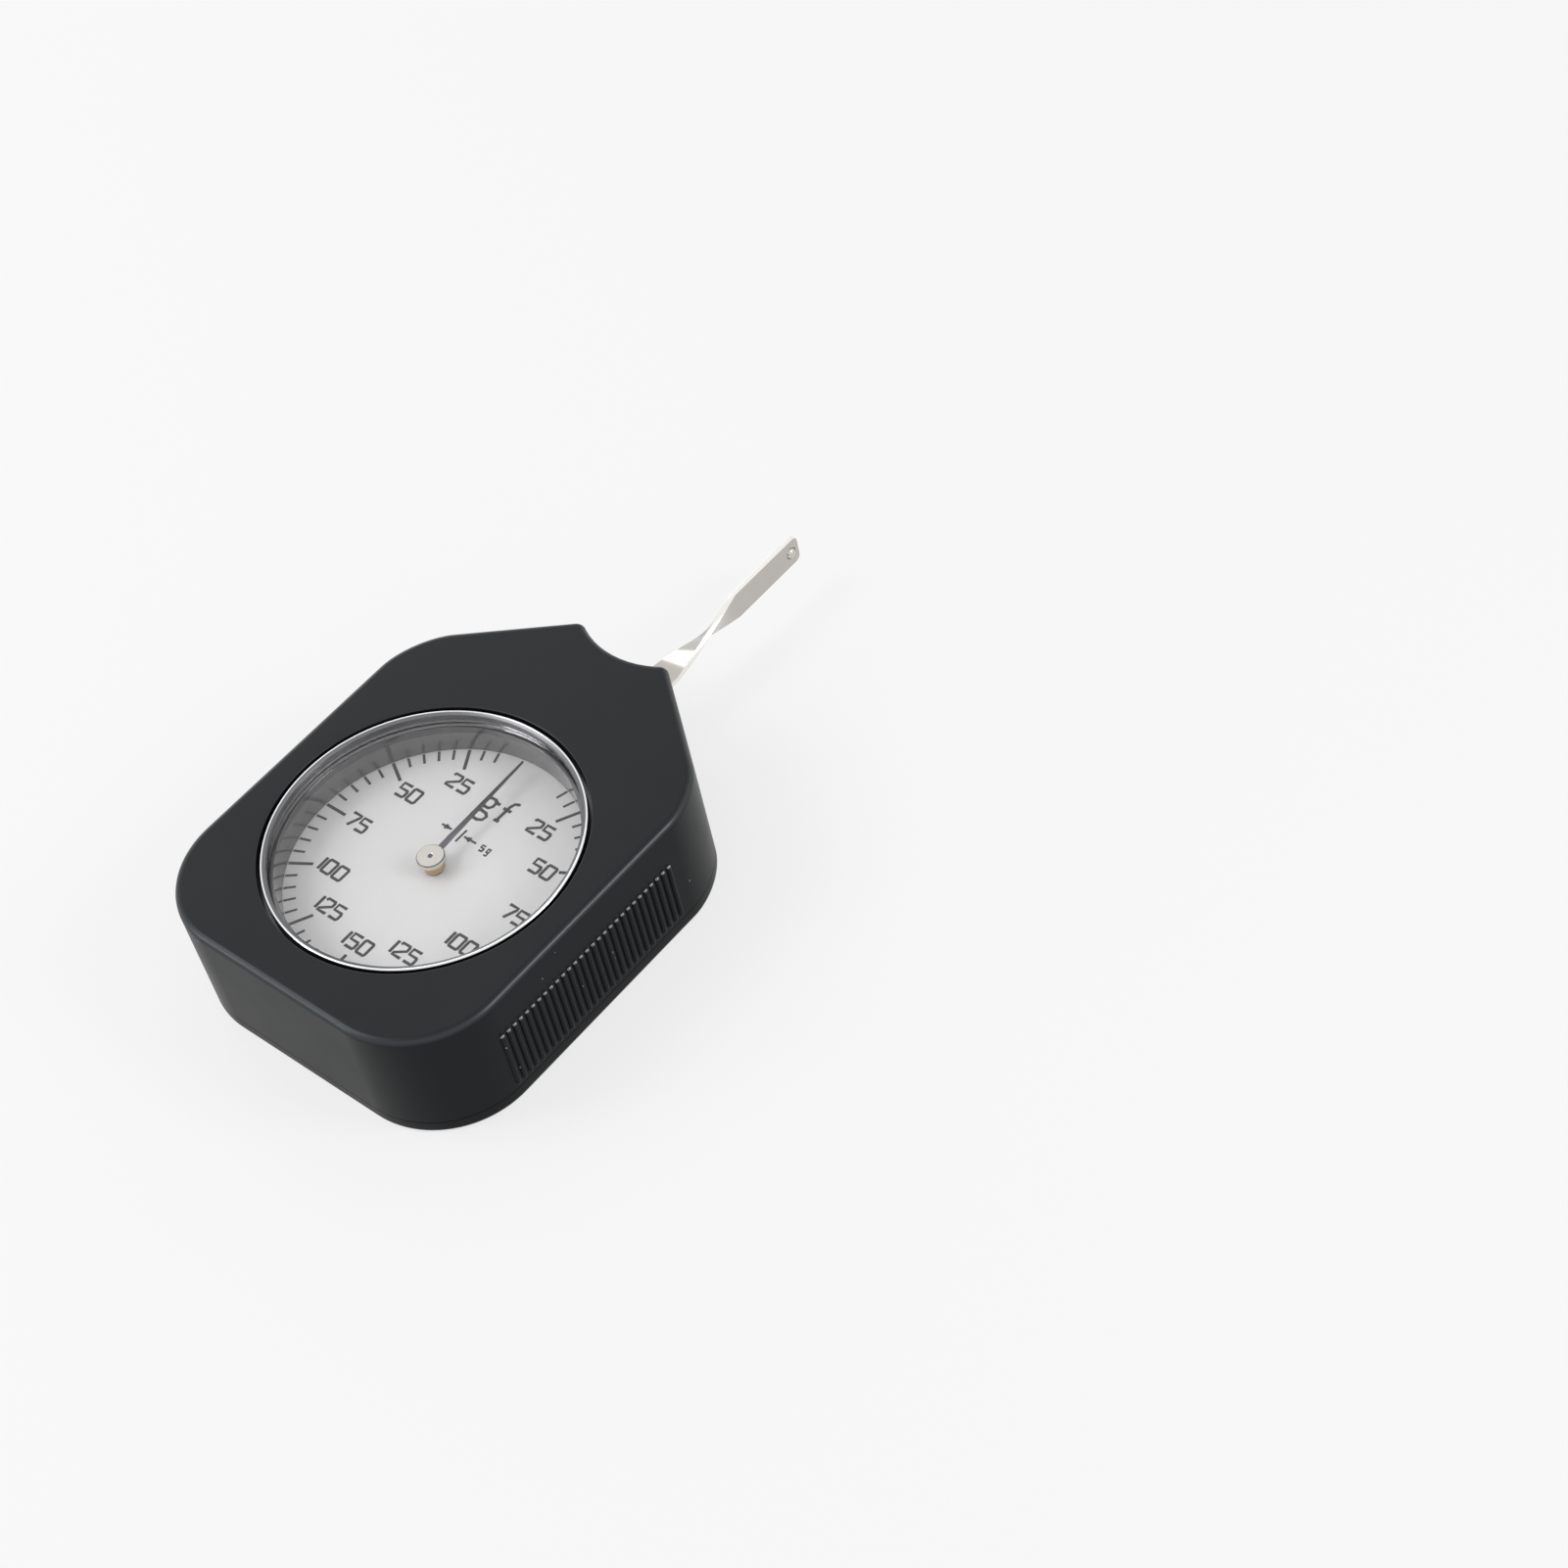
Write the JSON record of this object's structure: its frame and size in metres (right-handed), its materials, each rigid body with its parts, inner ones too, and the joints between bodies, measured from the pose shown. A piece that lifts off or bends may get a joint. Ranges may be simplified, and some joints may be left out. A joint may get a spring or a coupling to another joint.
{
  "type": "dial tension gauge",
  "caption": "Pocket dial tension gauge: black moulded body, round window with a swept pointer, and a twisted steel measuring arm that swings at one end.",
  "frame": {"origin": "on the dial's axis, at the flat back face", "axes": "+Z out of the back face towards the dial, +Y along the measuring arm, +X to the right seen from the dial side"},
  "size_m": [0.0554, 0.1054, 0.02],
  "materials": {
    "black_plastic": "fine satin moulded surface",
    "polished_steel": "polished",
    "satin_steel": "turned, satin",
    "blued_steel": "dark, semi-gloss",
    "brass": "turned",
    "bronze": "turned",
    "nickel": "polished",
    "dial_silver": "matt silver with plain black scale marks and numbers",
    "clear_crystal": "clear, polished"
  },
  "bodies": {
    "root": {"bezel_ring": "polished_steel", "cover_screw_1": "satin_steel", "cover_screw_2": "satin_steel", "cover_screw_3": "satin_steel", "cover_screw_4": "satin_steel", "crystal": "clear_crystal", "dial_foot_1": "brass", "dial_foot_2": "brass", "dial_plate": "dial_silver", "front_housing": "black_plastic", "front_plate": "brass", "front_plate_screw_1": "satin_steel", "front_plate_screw_2": "satin_steel", "front_plate_screw_3": "satin_steel", "front_plate_screw_4": "satin_steel", "hairspring": "blued_steel", "hairspring_stud": "brass", "lever_front_bush": "bronze", "lever_rear_bush": "bronze", "measuring_spring": "blued_steel", "plate_pillar_1": "brass", "plate_pillar_2": "brass", "plate_pillar_3": "brass", "plate_pillar_4": "brass", "pointer_front_bush": "bronze", "pointer_rear_bush": "bronze", "rear_cover": "black_plastic", "rear_plate": "brass", "rear_plate_screw_1": "satin_steel", "rear_plate_screw_2": "satin_steel", "rear_plate_screw_3": "satin_steel", "rear_plate_screw_4": "satin_steel", "spacer_ring": "polished_steel", "spring_stud": "brass", "stop_pin_1": "satin_steel", "stop_pin_2": "satin_steel"},
    "lever": {"arm_rivet_1": "satin_steel", "arm_rivet_2": "satin_steel", "contact_ball": "polished_steel", "counterweight": "brass", "lever_arbor": "satin_steel", "lever_hub": "brass", "measuring_arm": "polished_steel", "sector_gear": "brass", "spring_collet": "brass"},
    "pointer": {"hairspring_collet": "brass", "pinion": "satin_steel", "pointer": "blued_steel", "pointer_arbor": "satin_steel", "pointer_boss": "brass", "pointer_cap": "nickel"}
  },
  "joints": [
    {"name": "lever_pivot", "type": "hinge", "parent": "root", "child": "lever", "pos_m": [0, 0.0247, 0.008], "axis": [0, 0, 1], "range_deg": [-15, 15], "stiffness_Nm_per_rad": 0.28},
    {"name": "pointer_spin", "type": "hinge", "parent": "root", "child": "pointer", "pos_m": [0, 0, 0.0125], "axis": [0, 0, 1], "range_deg": [-180, 180]}
  ],
  "couplings": [
    {"joint": "pointer_spin", "follows": "lever_pivot", "ratio": -12}
  ]
}
